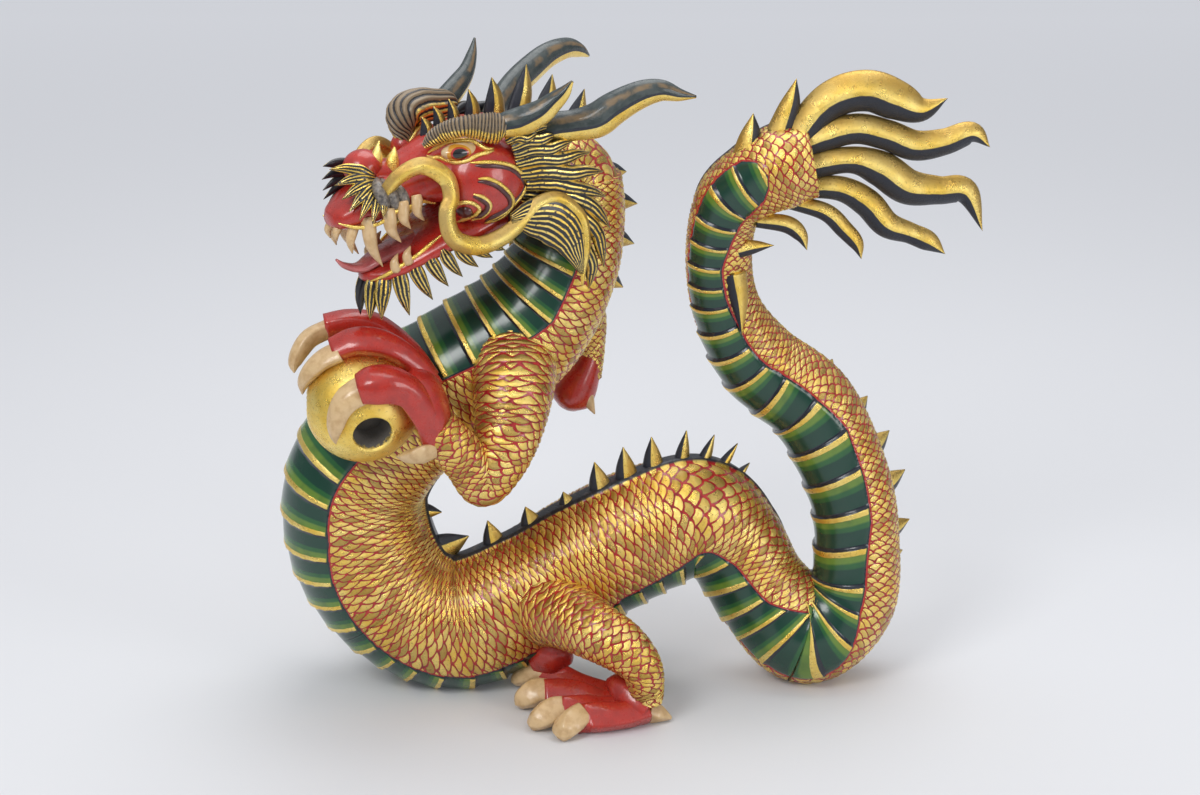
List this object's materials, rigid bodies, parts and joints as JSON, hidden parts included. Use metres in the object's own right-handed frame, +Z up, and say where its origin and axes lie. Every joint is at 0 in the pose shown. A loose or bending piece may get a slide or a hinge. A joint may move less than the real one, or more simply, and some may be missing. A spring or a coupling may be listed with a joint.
{
  "type": "carved dragon sculpture",
  "caption": "Carved, painted and gilded wooden dragon with a scaled S-shaped body, a ball held in one claw and a flame-shaped tail end; stands on belly, tail and feet.",
  "frame": {"origin": "middle of the footprint box, on the plane that the belly, the tail and the feet stand on", "axes": "+Z up, -X towards the head, -Y towards the side of the ball and the near leg"},
  "size_m": [0.3928, 0.1838, 0.367],
  "materials": {
    "painted_gilded_wood": "gold leaf scales with red grooves, glossy green, navy and red paint on carved wood"
  },
  "bodies": {
    "root": {"dragon": "painted_gilded_wood"}
  },
  "joints": []
}
